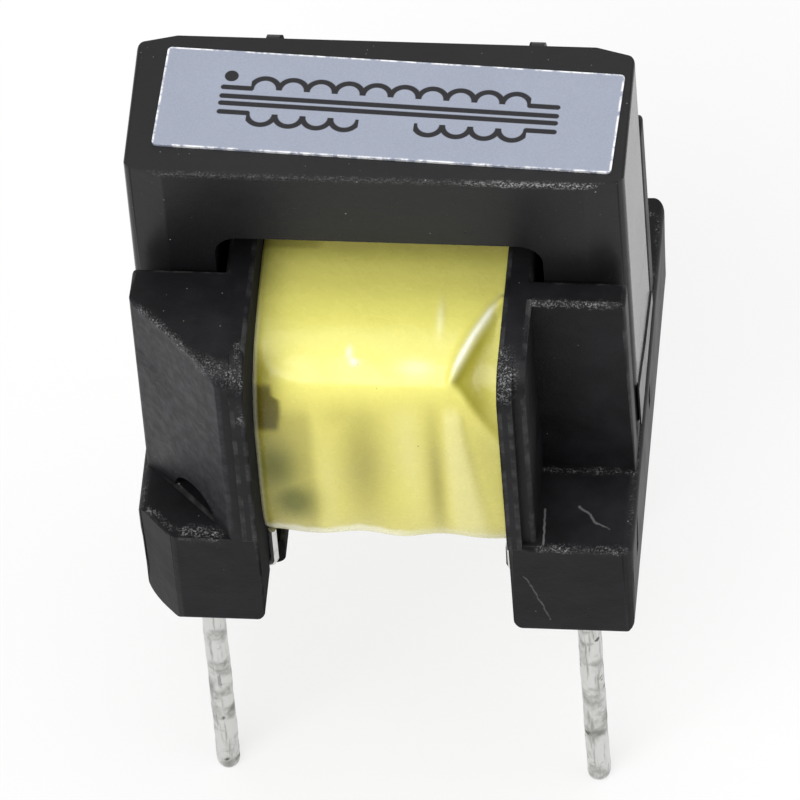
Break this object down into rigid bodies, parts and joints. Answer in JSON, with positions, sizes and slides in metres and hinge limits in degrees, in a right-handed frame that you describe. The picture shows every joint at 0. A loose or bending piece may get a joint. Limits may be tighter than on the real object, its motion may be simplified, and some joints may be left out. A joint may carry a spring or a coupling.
{
  "type": "four-pin pulse transformer",
  "caption": "Small board-mounted pulse transformer: a closed ferrite ring through a black moulded bobbin, a yellow-taped coil and long tinned pins.",
  "frame": {"origin": "middle of the pin pattern, on the bobbin's seating plane", "axes": "+Z away from the board, +X along the coil and the core's length, -Y towards the corner blocks' front, where the cut corner is on the left"},
  "size_m": [0.0166, 0.0154, 0.0292],
  "materials": {
    "ferrite": "pressed and ground, dark grey",
    "moulding": "black, semi-matte",
    "tinned": "tinned, bright with grey blotches",
    "copper": "enamelled copper wire",
    "clear_tape": "insulating film",
    "yellow_tape": "glossy polyester tape",
    "foil": "silver label film",
    "resin": "dark cured adhesive"
  },
  "bodies": {
    "root": {"core_u": "ferrite", "core_bar": "ferrite", "core_adhesive": "resin", "bobbin": "moulding", "pin_front_left": "tinned", "pin_front_right": "tinned", "pin_rear_left": "tinned", "pin_rear_right": "tinned", "primary_winding": "copper", "interlayer_tape": "clear_tape", "secondary_winding": "copper", "outer_tape": "yellow_tape", "lead_front_left": "tinned", "lead_front_right": "tinned", "lead_rear_left": "tinned", "lead_rear_right": "tinned", "label": "foil"}
  },
  "joints": []
}
